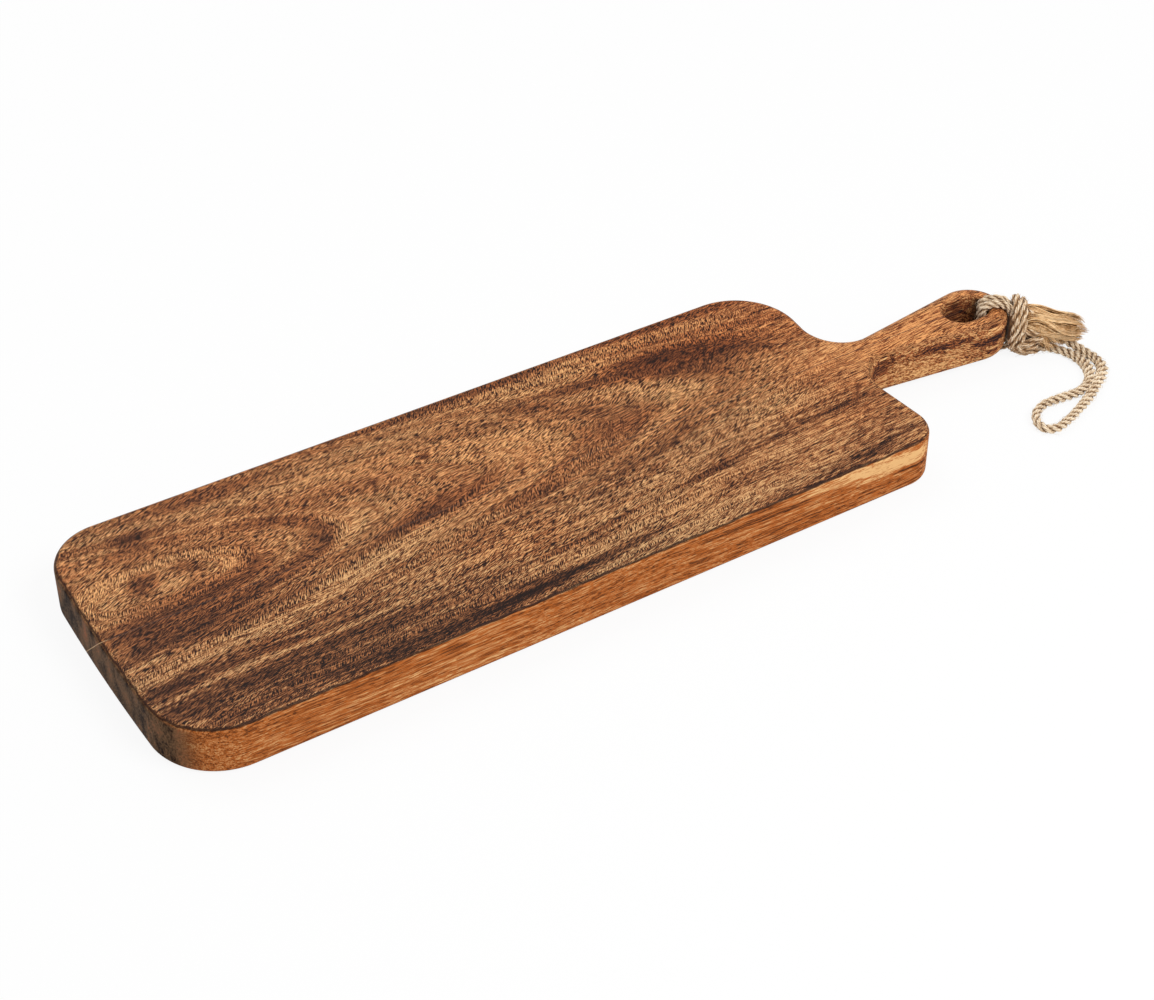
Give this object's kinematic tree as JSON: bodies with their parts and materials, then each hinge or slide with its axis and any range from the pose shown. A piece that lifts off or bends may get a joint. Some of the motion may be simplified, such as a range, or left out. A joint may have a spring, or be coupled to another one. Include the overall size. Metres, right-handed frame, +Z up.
{
  "type": "serving board",
  "caption": "Thick paddle-shaped wooden serving board with rounded corners, a short handle with a hanging hole, and a knotted rope hanger with frayed ends.",
  "frame": {"origin": "centre of the wood's footprint on the surface that it lies on", "axes": "+X along the board to the handle, +Y across it to the rear edge, +Z up through its thickness"},
  "size_m": [0.6527, 0.1935, 0.0376],
  "materials": {
    "rear_wood": "oiled figured acacia, satin",
    "front_wood": "oiled straight-grained acacia, satin",
    "glue": "dried wood glue, matt",
    "rope": "laid jute rope, dull and hairy",
    "frayed_rope": "combed-out jute fibre, soft sheen"
  },
  "bodies": {
    "board": {"rear_stave": "rear_wood", "front_stave": "front_wood", "glue_line": "glue"},
    "hitch": {"front_hole_strand": "rope", "rear_hole_strand": "rope", "knot_core": "rope", "knot_wrap": "rope", "upper_frayed_end": "frayed_rope", "lower_frayed_end": "frayed_rope"},
    "loop": {"hanging_loop": "rope"}
  },
  "joints": [
    {"name": "hitch_swivel", "type": "hinge", "parent": "board", "child": "hitch", "pos_m": [0.282, 0.001, 0.016], "axis": [0, 0, 1], "range_deg": [-22, 78]},
    {"name": "loop_swing", "type": "hinge", "parent": "hitch", "child": "loop", "pos_m": [0.3214, -0.0274, 0.0065], "axis": [0, 0, 1], "range_deg": [-8, 60]}
  ]
}
